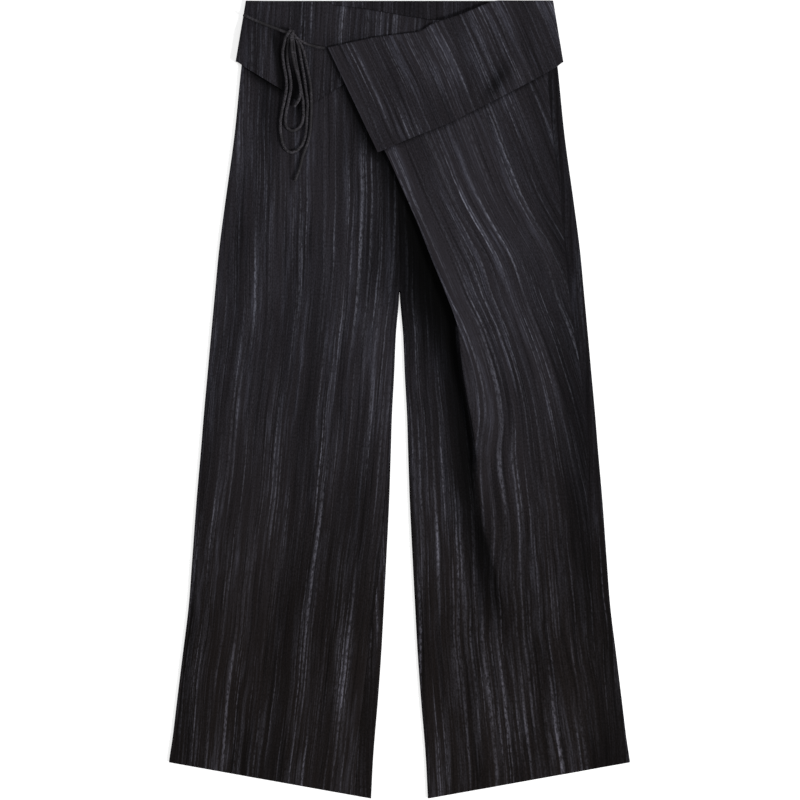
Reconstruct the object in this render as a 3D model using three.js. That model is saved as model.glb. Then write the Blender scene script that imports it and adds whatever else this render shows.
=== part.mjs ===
// Wide-leg wrap trousers laid flat: millimetres, +X to the viewer's right, +Y to the waist, +Z up off the surface.
// The origin is on the surface, under the middle of the trousers. "Right" and "left" are the wearer's.
import * as THREE from 'three';

// Cloth: the wall, the gap at a seam, and the step from one laid layer to the next.
const wall = 1.2;
const seamGap = 0.3;
const layerStep = 1.7;
const onFloor = wall / 2;

// Main sizes: depths are measured down from the waist fold, on the flat trousers.
const fullLength = 1100;
const sideHemDepth = 1050;
const crotchDepth = 402;
const centreX = -2;
const backFlapDepth = 88;
const underlapDepth = 188;
const splitDepth = 451;
const cordDiameter = 4;
const waistHalf = 212;
const cuffHalf = 226;

// Room left at the top of each layer inside the waist fold, and at a flap's rounded edges.
const backTop = 1.8;
const underTop = 2;
const wrapTop = 3.2;
const foldRadius = 1.8;
const rimRadius = 4;
const rimSteps = [0, 1.2, rimRadius];

// Where the two edges of the front's overlap start: the underlap's corner, and the slit's low edge.
const underlapX = 75;
const slitX = 105;

// Levels of the cloth's middle, over the surface.
const frontAtHip = onFloor + 2 * layerStep;
const frontAtLeg = 3.5;
const underFlapLevel = frontAtHip + layerStep;
const raisedUnderFlap = 7.6;
const wrapLevel = underFlapLevel + layerStep;
const wrapAtSide = 5.2;
const cuffMeetsAt = 3.9;

// Half widths of the trousers: the outer side of the leg, and the inner one below the crotch.
const outline = table(['depth', 'outer', 'inner'], [
  [0, 206.5, 0],
  [91, 218, 0],
  [188, 228, 0],
  [275, 240, 0],
  [344, 249, 0],
  [402, 254.5, 0],
  [461, 260, 4.8],
  [516, 265, 7.2],
  [571, 270, 10.2],
  [620, 274, 11.7],
  [689, 280, 14],
  [771, 286, 18],
  [836, 291, 21.4],
  [901, 299, 25],
  [966, 307, 29.7],
  [1016, 313, 34],
  [1050, 318, 36.5],
  [1100, 322, 39],
]);

// How far the back panel comes round onto the front, at each side and inner leg.
const turnOver = table(['depth', 'rightSide', 'leftSide', 'rightInner', 'leftInner'], [
  [0, 4, 15, 3, 3],
  [109, 4, 16, 3, 3],
  [214, 4, 17, 3, 3],
  [366, 4, 21, 3, 3],
  [465, 4, 19, 3, 3],
  [516, 4, 15, 3, 3],
  [629, 4, 15, 4, 3],
  [688, 4, 20, 6, 4],
  [781, 4, 21, 9, 8],
  [872, 4, 24, 16, 10],
  [988, 4, 33, 21, 6],
  [1100, 4, 42, 22, 4],
]);

// Fold lines along the tops of the two fronts, and the lower edges of their folded-over flaps.
const underFold = table(['x', 'depth'], [
  [-212, 0],
  [-102, 1.4],
  [-92, 6],
  [-46, 11.6],
  [10, 21.4],
  [48, 27],
  [76, 26],
]);
const underFlapEdge = table(['x', 'depth'], [
  [-226, 83],
  [-217, 90],
  [-163, 123],
  [-127, 146],
  [-79, 117],
  [70, 36],
]);
const wrapFold = table(['x', 'depth'], [
  [-98.7, 65],
  [-68, 58],
  [-34, 50.5],
  [28, 43],
  [47, 31],
  [85, 19],
  [121, 4],
  [132, 0],
  [212, 0],
]);
const wrapFlapEdge = table(['x', 'depth'], [
  [-30, 210.5],
  [12.6, 191.3],
  [65, 171],
  [112.5, 147.4],
  [177, 114],
  [219.5, 90.5],
  [226, 83],
]);

// The wrap's free edge from under its flap, and then the soft fold that it dies out in, with how high it stands up.
const wrapEdge = table(['depth', 'x', 'lift'], [
  [65, -98.7, 0],
  [211, -18.6, 0.6],
  [272, 9, 1.6],
  [316, 28, 2.6],
  [361, 45.5, 3.6],
  [399, 61, 4.4],
  [451, 80, 4.8],
  [487, 84, 4.6],
  [531, 90, 4],
  [606, 103, 2.6],
  [660, 107, 1.2],
  [720, 112, 0.3],
  [800, 118, 0],
  [1100, 150, 0],
]);

// Largest soft folds in the legs: a ridge from one place to another, its height and its half width.
const ridges = table(['fromX', 'fromDepth', 'toX', 'toDepth', 'height', 'spread'], [
  [-190, 200, -232, 560, 2, 22],
  [-120, 360, -150, 700, 1.8, 26],
  [-60, 430, -120, 980, 2.4, 22],
  [-215, 700, -262, 1010, 2, 24],
  [-14, 290, -52, 560, 2, 16],
  [190, 330, 206, 640, 2, 20],
  [150, 620, 128, 760, 3, 14],
  [128, 740, 168, 940, 2.4, 16],
  [222, 680, 246, 1000, 2.2, 20],
  [60, 640, 74, 980, 2.2, 18],
]);

// Dents pressed into the flaps, and the soft rise beside each.
const dents = table(['x', 'depth', 'height', 'spread'], [
  [100, 128, 2.2, 24],
  [152, 96, 1.6, 26],
  [20, 92, 1.4, 40],
  [70, 60, 1.2, 34],
]);

// Depths of the rows of the leg panels: close together where the legs part.
const rowDepths = [
  0, 30, 62, 91, 130, 190, 250, 310, 360, 388, crotchDepth, 412, 424, 436, splitDepth,
  487, 531, 570, 606, 660, 720, 800, 880, 966, 1040, fullLength,
];

// Routes of the tie cord, seen from above, with each point's height over the surface.
const cordRoutes = {
  tie_side: table(['x', 'depth', 'z'], [
    [-214.5, 20.5, 9.2],
    [-201, 27.5, 11.2],
    [-191, 31.6, 11.4],
    [-180, 36, 11.2],
    [-169, 40, 10.6],
    [-164, 42.3, 10.4],
  ]),
  tie_wrap: table(['x', 'depth', 'z'], [
    [-136.5, 56, 10.2],
    [-128, 60.4, 9],
    [-116, 64, 8.6],
    [-103, 66.4, 8.4],
  ]),
  tie_loop_lower: table(['x', 'depth', 'z'], [
    [-157, 58, 8.6],
    [-160.5, 70, 8.5],
    [-159.5, 88, 8.5],
    [-156.5, 104, 8.5],
    [-155.5, 120, 8.6],
    [-158, 136, 8.3],
    [-162, 154, 7.1],
    [-164, 170, 6.8],
    [-163, 186, 6.8],
    [-160, 199, 6.8],
    [-153, 208.5, 6.6],
    [-146, 209, 6.6],
    [-138, 204, 6.6],
    [-131.5, 193, 6.6],
    [-128.5, 178, 6.8],
    [-127.5, 160, 8],
    [-126.5, 142, 8.8],
    [-128.5, 126, 8.6],
    [-131, 108, 8.5],
    [-134.5, 88, 8.5],
    [-137.5, 70, 8.5],
    [-140, 58, 8.6],
  ]),
  tie_loop_upper: table(['x', 'depth', 'z'], [
    [-152, 58, 8.6],
    [-154, 70, 8.5],
    [-153.5, 88, 8.5],
    [-150.5, 104, 8.5],
    [-149.5, 120, 8.6],
    [-152, 136, 8.6],
    [-155.5, 152, 7.2],
    [-157, 166, 6.8],
    [-155, 175, 6.6],
    [-149, 179.5, 6.6],
    [-141, 177.5, 6.6],
    [-135, 171, 6.6],
    [-132.5, 162, 7.6],
    [-132.3, 150, 8.6],
    [-133, 138, 8.7],
    [-135.5, 124, 8.5],
    [-138.5, 106, 8.5],
    [-142, 88, 8.5],
    [-144.5, 72, 8.5],
    [-145.5, 58, 8.6],
  ]),
  tie_end_long: table(['x', 'depth', 'z'], [
    [-134.5, 63.5, 8.6],
    [-131.5, 72, 8.5],
    [-128, 88, 8.5],
    [-124.5, 104, 8.5],
    [-122, 124, 8.5],
    [-121.5, 146, 8.6],
    [-122, 164, 7.2],
    [-123, 180, 6.6],
    [-127, 198, 6.6],
    [-133, 214, 6.6],
    [-137.5, 232, 6.6],
    [-144, 249, 6.6],
  ]),
  tie_end_short: table(['x', 'depth', 'z'], [
    [-148.5, 60.5, 13],
    [-147.5, 72, 13.2],
    [-144, 90, 13.2],
    [-139, 108, 13.2],
    [-136, 124, 12.8],
    [-137.5, 136, 12.4],
    [-145, 147, 9],
  ]),
};
const knot = { x: -150.5, depth: 49.5, z: 11.7, long: 13.5, wide: 7, high: 5 };

// Colours from the photo.
const clothColour = 0x2a292d;
const cordColour = 0x2e2c30;

function table(columns, rows) {
  return rows.map((row) => Object.fromEntries(columns.map((name, i) => [name, row[i]])));
}

function mix(a, b, t) {
  return a + (b - a) * t;
}

function smooth(from, to, value) {
  const t = THREE.MathUtils.clamp((value - from) / (to - from), 0, 1);
  return t * t * (3 - 2 * t);
}

// Reads a column of a table on a smooth line through its rows.
function read(rows, key, column, at) {
  const last = rows.length - 1;
  const i = rows.findIndex((row) => row[key] >= at);
  if (i === 0 || at <= rows[0][key]) return rows[0][column];
  if (i < 0) return rows[last][column];
  const [before, from, to, after] = [i - 2, i - 1, i, i + 1].map((k) => rows[THREE.MathUtils.clamp(k, 0, last)]);
  const span = to[key] - from[key];
  const slopeFrom = (to[column] - before[column]) / (to[key] - before[key]);
  const slopeTo = (after[column] - from[column]) / (after[key] - from[key]);
  const t = (at - from[key]) / span;
  const bend = t * (1 - t) * ((1 - t) * (slopeFrom * span) - t * (slopeTo * span));
  return mix(from[column], to[column], t * t * (3 - 2 * t)) + bend;
}

// Reads a column of a table on straight lines between its rows.
function readStraight(rows, key, column, at) {
  const i = rows.findIndex((row) => row[key] >= at);
  if (i < 0) return rows[rows.length - 1][column];
  if (i === 0) return rows[0][column];
  const [from, to] = [rows[i - 1], rows[i]];
  return mix(from[column], to[column], (at - from[key]) / (to[key] - from[key]));
}

// Walls: a sheet of cloth is drawn as patches of rows of points in its middle, and thickened both ways.

function thicken(patches) {
  const points = [];
  const faces = [];
  const known = new Map();
  const indexOf = (point) => {
    const key = point.toArray().map((v) => Math.round(v * 1000)).join();
    if (!known.has(key)) known.set(key, points.push(point) - 1);
    return known.get(key);
  };
  for (const patch of patches) {
    const grid = patch.map((row) => row.map(indexOf));
    for (let i = 1; i < grid.length; i += 1) {
      for (let j = 1; j < grid[i].length; j += 1) {
        const corners = [grid[i - 1][j - 1], grid[i][j - 1], grid[i][j], grid[i - 1][j]];
        faces.push([corners[0], corners[1], corners[2]], [corners[0], corners[2], corners[3]]);
      }
    }
  }
  return wallFrom(points, faces);
}

function wallFrom(points, faces) {
  const normals = points.map(() => new THREE.Vector3());
  for (const [a, b, c] of faces) {
    const normal = points[b].clone().sub(points[a]).cross(points[c].clone().sub(points[a]));
    for (const i of [a, b, c]) normals[i].add(normal);
  }
  const count = points.length;
  const shifted = (side) => points.map((p, i) => p.clone().addScaledVector(normals[i].clone().normalize(), side));
  const all = [...shifted(wall / 2), ...shifted(-wall / 2)];
  const edges = new Set(faces.flatMap(([a, b, c]) => [`${a},${b}`, `${b},${c}`, `${c},${a}`]));
  const index = [];
  for (const [a, b, c] of faces) index.push(a, b, c, a + count, c + count, b + count);
  for (const edge of edges) {
    const [a, b] = edge.split(',').map(Number);
    if (!edges.has(`${b},${a}`)) index.push(b, a, a + count, b, a + count, b + count);
  }
  const geometry = new THREE.BufferGeometry();
  geometry.setAttribute('position', new THREE.Float32BufferAttribute(all.flatMap((p) => p.toArray()), 3));
  geometry.setIndex(index);
  return geometry;
}

// Where things are: side is 1 for the wearer's left leg (positive X) and -1 for the right one.

function hemShare(depth) {
  return Math.max(0, (depth - crotchDepth) / (fullLength - crotchDepth));
}

// The outer and inner side of one leg on a row.
function legRow(side, depth) {
  const outerDepth = depth - (fullLength - sideHemDepth) * hemShare(depth);
  const outer = read(outline, 'depth', 'outer', outerDepth);
  const inner = depth > crotchDepth ? read(outline, 'depth', 'inner', depth) : 0;
  return { outerDepth, outer: side * outer, inner: side * inner + centreAt(depth), depth };
}

function centreAt(depth) {
  return centreX * (1 - smooth(250, crotchDepth, depth));
}

function spot(row, x, z) {
  const share = THREE.MathUtils.clamp((x - row.inner) / (row.outer - row.inner), 0, 1);
  return new THREE.Vector3(x, fullLength / 2 - mix(row.depth, row.outerDepth, share), z);
}

function backLevel(depth) {
  return onFloor + layerStep * (1 - smooth(backFlapDepth + 8, backFlapDepth + 60, depth));
}

// The level at the side seam, where the back panel comes over onto the front.
function sideLevel(side, depth) {
  if (side < 0) return mix(frontAtHip, frontAtLeg, smooth(150, 300, depth));
  return mix(wrapAtSide, frontAtLeg, smooth(splitDepth, 760, depth));
}

function sideName(side, place) {
  return (side < 0 ? 'right' : 'left') + place;
}

function sideSeam(side, depth) {
  const row = legRow(side, depth);
  const over = read(turnOver, 'depth', sideName(side, 'Side'), depth);
  return row.outer - side * over;
}

function ridgeHeight(x, depth) {
  let height = 0;
  for (const ridge of ridges) {
    const along = new THREE.Vector2(ridge.toX - ridge.fromX, ridge.toDepth - ridge.fromDepth);
    const to = new THREE.Vector2(x - ridge.fromX, depth - ridge.fromDepth);
    const share = to.dot(along) / along.lengthSq();
    const off = Math.abs(to.cross(along)) / along.length();
    const fade = smooth(-0.25, 0.3, share) * (1 - smooth(0.7, 1.25, share));
    height += ridge.height * fade * Math.exp(-((off / ridge.spread) ** 2));
  }
  return height;
}

function dentHeight(x, depth) {
  let height = 0;
  for (const dent of dents) {
    height += dent.height * Math.exp(-(((x - dent.x) / dent.spread) ** 2) - ((depth - dent.depth) / dent.spread) ** 2);
  }
  return height;
}

// Folds fade out towards a panel's edges, so that seams stay level.
function edgeFade(x, from, to) {
  return smooth(0, 26, Math.min(Math.abs(x - from), Math.abs(x - to)));
}

// Near the crotch four seams meet and the front stands up a little.
function crotchRise(x, depth) {
  const near = smooth(372, crotchDepth - 4, depth) * (1 - smooth(crotchDepth + 42, crotchDepth + 85, depth));
  return 2 * near * (1 - smooth(10, 34, Math.abs(x)));
}

// Back panels: the floor layer, turned up round the outer side and, below the crotch, round the inner leg.

function backPanel(side) {
  const hip = rowDepths.filter((depth) => depth <= crotchDepth).map((depth) => hipRow(side, Math.max(depth, backTop)));
  const leg = rowDepths.filter((depth) => depth >= crotchDepth).map((depth) => legBackRow(side, depth));
  return thicken([hip, leg].map((rows) => (side < 0 ? rows : rows.map((row) => row.reverse()))));
}

function hipRow(side, depth) {
  const row = legRow(side, depth);
  const seam = { ...row, depth: Math.min(depth, crotchDepth - 1) };
  return [...floorRow(side, depth), spot(seam, row.inner + side * seamGap / 2, backLevel(depth))];
}

function legBackRow(side, depth) {
  const row = legRow(side, Math.max(depth, crotchDepth + 2));
  const radius = (frontAtLeg - onFloor) / 2;
  const turnX = innerTurnX(side, depth);
  const over = read(turnOver, 'depth', sideName(side, 'Inner'), depth);
  const turned = [-Math.PI / 4, 0, Math.PI / 4, Math.PI / 2].map((angle) => (
    spot(row, turnX - side * radius * Math.cos(angle), onFloor + radius * (1 + Math.sin(angle)))));
  const end = spot(row, row.inner + side * Math.max(over, wall / 2 + radius + 0.8), frontAtLeg);
  return [...floorRow(side, depth), ...turned, end];
}

// Where the inner leg's turn begins on the floor.
function innerTurnX(side, depth) {
  return legRow(side, depth).inner + side * (wall / 2 + (frontAtLeg - onFloor) / 2);
}

function floorRow(side, depth) {
  const row = legRow(side, depth);
  const low = backLevel(depth);
  const high = sideLevel(side, depth);
  const radius = (high - low) / 2;
  const turnX = row.outer - side * (wall / 2 + radius);
  const turned = [Math.PI / 2, Math.PI / 4, 0, -Math.PI / 4, -Math.PI / 2].map((angle) => (
    spot(row, turnX + side * radius * Math.cos(angle), low + radius * (1 + Math.sin(angle)))));
  const flat = [0.33, 0.67, 1].map((t) => spot(row, mix(turnX, innerTurnX(side, depth), t), low));
  return [spot(row, sideSeam(side, depth), high), ...turned, ...flat];
}

// Right front: from the right side seam to the centre seam and inner leg, with its underlap at the waist.

function frontRight() {
  const columns = [0, 0.08, 0.2, 0.3, 0.362, 0.398, 0.48, 0.564, 0.766, 0.903, 1];
  const rows = rowDepths.map((depth) => {
    const row = legRow(-1, depth);
    const from = sideSeam(-1, depth) + seamGap;
    const to = rightFrontEdge(depth);
    return columns.map((t) => {
      const x = mix(from, to, t);
      const top = (readStraight(underFold, 'x', 'depth', x) + underTop) * (1 - smooth(0, underlapDepth, depth));
      return spot({ ...row, depth: row.depth + top, outerDepth: row.outerDepth + top }, x, rightFrontLevel(x, depth));
    });
  });
  return thicken([rows]);
}

function rightFrontEdge(depth) {
  if (depth < underlapDepth) return mix(underlapX, centreX, depth / underlapDepth) - seamGap / 2;
  if (depth <= crotchDepth) return centreAt(depth) - seamGap / 2;
  return innerSeam(-1, depth) - seamGap;
}

// Where the back panel's turned-over inner strip ends.
function innerSeam(side, depth) {
  const radius = (frontAtLeg - onFloor) / 2;
  const over = read(turnOver, 'depth', sideName(side, 'Inner'), depth);
  return legRow(side, depth).inner + side * Math.max(over, wall / 2 + radius + 0.8);
}

function rightFrontLevel(x, depth) {
  const level = mix(frontAtHip, frontAtLeg, smooth(150, 300, depth));
  const fade = edgeFade(x, sideSeam(-1, depth), rightFrontEdge(depth)) * smooth(150, 230, depth);
  return level + ridgeHeight(x, depth) * fade + crotchRise(x, depth);
}

// Left front: one sheet with a slit. Left of the slit it lies low from the centre seam and inner leg; right of it
// it is the wrap, which crosses over the right front. Below the slit a soft fold joins the two and dies out.

function frontLeft() {
  const lower = rowDepths.filter((depth) => depth >= splitDepth).map((depth) => [...lowRow(depth), ...highRow(depth)]);
  const upperLow = rowDepths.filter((depth) => depth > underlapDepth && depth <= splitDepth).map(lowRow);
  const upperHigh = [0, 0.14, 0.28, 0.42, 0.56, 0.7, 0.82, 0.92, 1].map(wrapRow);
  return thicken([lower, upperLow, upperHigh]);
}

// The low part of a row, from the centre seam or inner leg to the slit or the soft fold.
function lowRow(depth) {
  const row = legRow(1, depth);
  const from = depth <= crotchDepth ? row.inner + seamGap / 2 : innerSeam(1, depth) + seamGap;
  const cut = mix(slitX, foldX(splitDepth) + 1, (depth - underlapDepth) / (splitDepth - underlapDepth));
  const to = depth < splitDepth ? cut : lowFoldX(depth);
  return [0, 0.16, 0.38, 0.66, 1].map((t) => {
    const x = mix(from, to, t);
    return spot(row, x, lowLevel(x, depth, from));
  });
}

function foldX(depth) {
  return read(wrapEdge, 'depth', 'x', depth);
}

function lowFoldX(depth) {
  return foldX(depth) + mix(1, -8, smooth(splitDepth, 720, depth));
}

function lowLevel(x, depth, from) {
  const fade = smooth(0, 20, x - from) * smooth(splitDepth, splitDepth + 160, depth);
  return frontAtLeg + ridgeHeight(x, depth) * fade + crotchRise(x, depth);
}

// Where the columns of the wrap and of the leg below it stand, from the soft fold to the side seam.
const highShares = [0, 0.1, 0.214, 0.424, 0.489, 0.617, 0.739, 0.87, 1];

// The high part of a row, from the soft fold to the left side seam.
function highRow(depth) {
  const row = legRow(1, depth);
  const to = sideSeam(1, depth) - seamGap;
  return highShares.map((t) => {
    const x = mix(foldX(depth), to, t);
    return spot(row, x, highLevel(x, depth));
  });
}

function highLevel(x, depth) {
  const corner = mix(wrapLevel, wrapAtSide, smooth(60, 185, x));
  const hip = mix(corner, wrapAtSide, smooth(150, splitDepth - 60, depth));
  const level = mix(hip, frontAtLeg, smooth(splitDepth, 760, depth));
  const lift = read(wrapEdge, 'depth', 'lift', depth) * Math.exp(-(((x - foldX(depth)) / 36) ** 2));
  const fade = smooth(0, 26, sideSeam(1, depth) - x) * smooth(210, 300, depth);
  return level + lift + ridgeHeight(x, depth) * fade;
}

// A row of the wrap, from its fold line at the waist (share 0) down to the row at the slit's end (share 1).
function wrapRow(share) {
  const end = highRow(splitDepth);
  const last = end.length - 1;
  const [topLeft, topRight] = [wrapFold[0].x + 1.5, sideSeam(1, backTop) - seamGap];
  const sideDepth = fullLength / 2 - end[last].y;
  return highShares.map((t, i) => {
    const high = mix(topLeft, topRight, t);
    const depth = mix(readStraight(wrapFold, 'x', 'depth', high) + wrapTop, fullLength / 2 - end[i].y, share);
    const leftOff = foldX(mix(wrapFold[0].depth + backTop, splitDepth, share)) - mix(topLeft, end[0].x, share);
    const rightOff = sideSeam(1, mix(backTop, sideDepth, share)) - seamGap - mix(topRight, end[last].x, share);
    const x = mix(high, end[i].x, share) + mix(leftOff, rightOff, t) * (share < 1 ? 1 : 0);
    return new THREE.Vector3(x, fullLength / 2 - depth, highLevel(x, share < 1 ? depth : splitDepth));
  });
}

// Folded-over flaps: each lies on its panel like a shallow lid, rounded over at the fold and at the trousers' sides.

// fold and hem are tables of depth by x; left and right are the x of the ends, at the fold and at the hem.
function flap({ fold, hem, left, right, shares, open, foldLevel, sideAt, rimLeft, rimRight }) {
  const roundRows = [0, foldRadius / 3, foldRadius].map((mm) => ({ mm, share: 0 }));
  const rows = [...roundRows, ...[0.2, 0.5, 0.8, 1].map((share) => ({ mm: foldRadius, share }))];
  const rims = { left: rimLeft ? rimSteps : [0], right: rimRight ? rimSteps.toReversed() : [0] };
  const across = (from, to) => [
    ...rims.left.map((mm) => from + mm),
    ...shares.map((t) => mix(from, to, t)),
    ...rims.right.map((mm) => to - mm),
  ];
  const top = across(left.fold, right.fold);
  const low = across(left.hem, right.hem);
  return thicken([rows.map(({ mm, share }) => top.map((topX, i) => {
    const start = readStraight(fold, 'x', 'depth', topX) + wall / 2;
    const end = readStraight(hem, 'x', 'depth', low[i]);
    const done = mm / (end - start);
    const along = done + (1 - done) * share;
    const x = mix(topX, low[i], along);
    const depth = mix(start, end, along);
    const sideLeft = rimLeft ? rounded(x - mix(left.fold, left.hem, along), rimRadius) : 0;
    const sideRight = rimRight ? rounded(mix(right.fold, right.hem, along) - x, rimRadius) : 0;
    const level = open(x, depth);
    const roll = share > 0 ? 0 : rounded(mm, foldRadius) * (foldLevel(x, depth) - level);
    const side = Math.max(sideLeft, sideRight) * (sideAt - level);
    return new THREE.Vector3(x, fullLength / 2 - depth, level + (Math.abs(roll) > Math.abs(side) ? roll : side));
  }))]);
}

// How far down a rounded edge is, from 1 at its lip to 0 where it has turned flat.
function rounded(distance, radius) {
  const t = THREE.MathUtils.clamp(1 - distance / radius, 0, 1);
  return 1 - Math.sqrt(1 - t * t);
}

function flapBack() {
  return flap({
    fold: table(['x', 'depth'], [[-waistHalf, 0], [waistHalf, 0]]),
    hem: table(['x', 'depth'], [[-226, 83], [-216, backFlapDepth], [216, backFlapDepth], [226, 83]]),
    left: { fold: -waistHalf + wall / 2, hem: -cuffHalf + wall / 2 },
    right: { fold: waistHalf - wall / 2, hem: cuffHalf - wall / 2 },
    shares: [0.06, 0.25, 0.5, 0.75, 0.94],
    open: () => onFloor,
    foldLevel: () => onFloor + layerStep,
    sideAt: cuffMeetsAt - seamGap - 0.2,
    rimLeft: true,
    rimRight: true,
  });
}

function underFlapTop(x, depth) {
  const cliffX = mix(-172, -163.5, (depth - 56) / 67);
  const raised = (1 - smooth(cliffX - 6, cliffX + 2, x)) * smooth(16, 50, depth);
  return underFlapLevel + raised * (raisedUnderFlap - underFlapLevel);
}

function flapFrontRight() {
  return flap({
    fold: underFold,
    hem: underFlapEdge,
    left: { fold: -waistHalf + wall / 2, hem: -cuffHalf + wall / 2 },
    right: { fold: 76, hem: 70 },
    shares: [0.06, 0.13, 0.155, 0.185, 0.21, 0.27, 0.333, 0.381, 0.415, 0.576, 0.77, 0.903],
    open: underFlapTop,
    foldLevel: () => frontAtHip,
    sideAt: cuffMeetsAt + seamGap + 0.2,
    rimLeft: true,
    rimRight: false,
  });
}

function flapWrap() {
  return flap({
    fold: wrapFold,
    hem: wrapFlapEdge,
    left: { fold: -98.7, hem: -30 },
    right: { fold: waistHalf - wall / 2, hem: cuffHalf - wall / 2 },
    shares: [0.1, 0.209, 0.31, 0.409, 0.47, 0.592, 0.708, 0.79, 0.87, 0.94],
    open: (x, depth) => highLevel(x, depth) + layerStep + dentHeight(x, depth),
    foldLevel: highLevel,
    sideAt: cuffMeetsAt + seamGap + 0.2,
    rimLeft: false,
    rimRight: true,
  });
}

// Tie cord: a thin round cord along each route, and a small knot.

function cord(route) {
  const points = route.map(({ x, depth, z }) => new THREE.Vector3(x, fullLength / 2 - depth, z));
  const curve = new THREE.CatmullRomCurve3(points, false, 'centripetal');
  const round = new THREE.Shape();
  for (let i = 0; i < 8; i += 1) {
    const angle = (i * Math.PI) / 4;
    const corner = [Math.cos(angle), Math.sin(angle)].map((v) => (v * cordDiameter) / 2);
    if (i === 0) round.moveTo(...corner);
    else round.lineTo(...corner);
  }
  const steps = Math.max(3, Math.round(curve.getLength() / (cordDiameter * 2.7)));
  return new THREE.ExtrudeGeometry(round, { steps, extrudePath: curve, bevelEnabled: false });
}

function knotShape() {
  const shape = new THREE.IcosahedronGeometry(1, 2);
  shape.scale(knot.long, knot.wide, knot.high);
  shape.rotateZ(-0.45);
  return shape.translate(knot.x, fullLength / 2 - knot.depth, knot.z);
}

function piece(name, geometry, color, roughness) {
  const mesh = new THREE.Mesh(geometry, new THREE.MeshStandardMaterial({ color, roughness, metalness: 0 }));
  mesh.name = name;
  return mesh;
}

function trousers() {
  const group = new THREE.Group();
  const panels = {
    back_right: backPanel(-1),
    back_left: backPanel(1),
    front_right: frontRight(),
    front_left: frontLeft(),
    flap_back: flapBack(),
    flap_front_right: flapFrontRight(),
    flap_wrap: flapWrap(),
  };
  for (const [name, geometry] of Object.entries(panels)) group.add(piece(name, geometry, clothColour, 0.9));
  for (const [name, route] of Object.entries(cordRoutes)) group.add(piece(name, cord(route), cordColour, 0.85));
  group.add(piece('tie_knot', knotShape(), cordColour, 0.85));
  return group;
}

export default trousers();
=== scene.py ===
# Wide-leg wrap trousers laid flat, with a fold-over waist and a cord tie.
# Lengths are in millimetres until a mesh is made. Depths are measured down from the waist fold.
import math
import bpy
import numpy as np
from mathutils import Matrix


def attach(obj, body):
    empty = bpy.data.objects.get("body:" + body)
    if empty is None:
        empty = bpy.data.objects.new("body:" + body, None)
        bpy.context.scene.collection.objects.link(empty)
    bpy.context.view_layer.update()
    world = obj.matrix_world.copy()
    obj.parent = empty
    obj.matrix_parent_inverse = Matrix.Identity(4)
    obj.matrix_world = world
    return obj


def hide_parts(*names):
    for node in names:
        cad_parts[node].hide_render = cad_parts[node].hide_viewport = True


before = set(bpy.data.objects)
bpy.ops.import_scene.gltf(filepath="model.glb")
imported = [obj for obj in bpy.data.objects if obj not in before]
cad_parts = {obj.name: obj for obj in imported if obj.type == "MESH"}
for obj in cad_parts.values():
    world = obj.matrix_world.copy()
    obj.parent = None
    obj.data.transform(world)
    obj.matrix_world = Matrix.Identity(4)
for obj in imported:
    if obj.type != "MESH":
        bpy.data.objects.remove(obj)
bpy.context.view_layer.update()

metre = 0.001  # Metres in a millimetre
halfLength = 550.0

# Camera

photo = {"side": 800, "mmPerPixel": 1.38, "middleX": 0.7, "middleY": -0.6, "lens": 100.0, "sensor": 36.0}


def makeCamera():
    data = bpy.data.cameras.new("overheadCamera")
    data.lens = photo["lens"]
    data.sensor_width = photo["sensor"]
    width = photo["side"] * photo["mmPerPixel"] * metre
    camera = bpy.data.objects.new("overheadCamera", data)
    height = width * data.lens / data.sensor_width
    camera.location = (photo["middleX"] * metre, photo["middleY"] * metre, height)
    bpy.context.scene.collection.objects.link(camera)
    bpy.context.scene.camera = camera


makeCamera()
print("camera ready")


# Curves through a few values

def mix(a, b, t):
    return a + (b - a) * t


def smooth(low, high, value):
    t = np.clip((value - low) / (high - low), 0, 1)
    return t * t * (3 - 2 * t)


def curveAt(table, name, at):
    x, y = np.array(table["depth"], float), np.array(table[name], float)
    slope = np.gradient(y, x)
    slope[1:-1] = (y[2:] - y[:-2]) / (x[2:] - x[:-2])
    at = np.clip(at, x[0], x[-1])
    i = np.clip(np.searchsorted(x, at) - 1, 0, len(x) - 2)
    span = x[i + 1] - x[i]
    t = (at - x[i]) / span
    bend = t * (1 - t) * ((1 - t) * slope[i] - t * slope[i + 1]) * span
    return mix(y[i], y[i + 1], t * t * (3 - 2 * t)) + bend


def lineAt(table, at, soften=5.0):
    steps = np.linspace(-soften, soften, 5)
    return sum(np.interp(at + step, table["x"], table["depth"]) for step in steps) / len(steps)


def roundOver(distance, radius):
    t = np.clip(1 - distance / radius, 0, 1)
    return 1 - np.sqrt(1 - t * t)


# Shared sizes of the trousers

# Walls of the scene's sheets and of the CAD part's, and the height from one layer to the next
cloth = {"wall": 1.0, "solidWall": 1.2, "step": 1.7}
foldRadius = 1.8
sideRadius = 4.0
seam = {"low": 0.45, "wide": 1.8, "room": 0.8}
onFloor = cloth["solidWall"] / 2
frontAtHip = onFloor + 2 * cloth["step"]
frontAtLeg = 3.5
underFlapLevel = frontAtHip + cloth["step"]
wrapLevel = underFlapLevel + cloth["step"]
wrapAtSide = 5.2
crotchDepth = 402.0
hipDepths = (150, 300)  # Where the layers at the waist come down to the level of the leg
settledDepth = 760.0  # From here down the wrap lies as low as the rest of the leg
cornerLevel = 9.6  # The corner of the lower flap, which the cord holds up
hemDepths = {"inner": 1100.0, "outer": 1050.0}
centreX = -2.0

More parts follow.
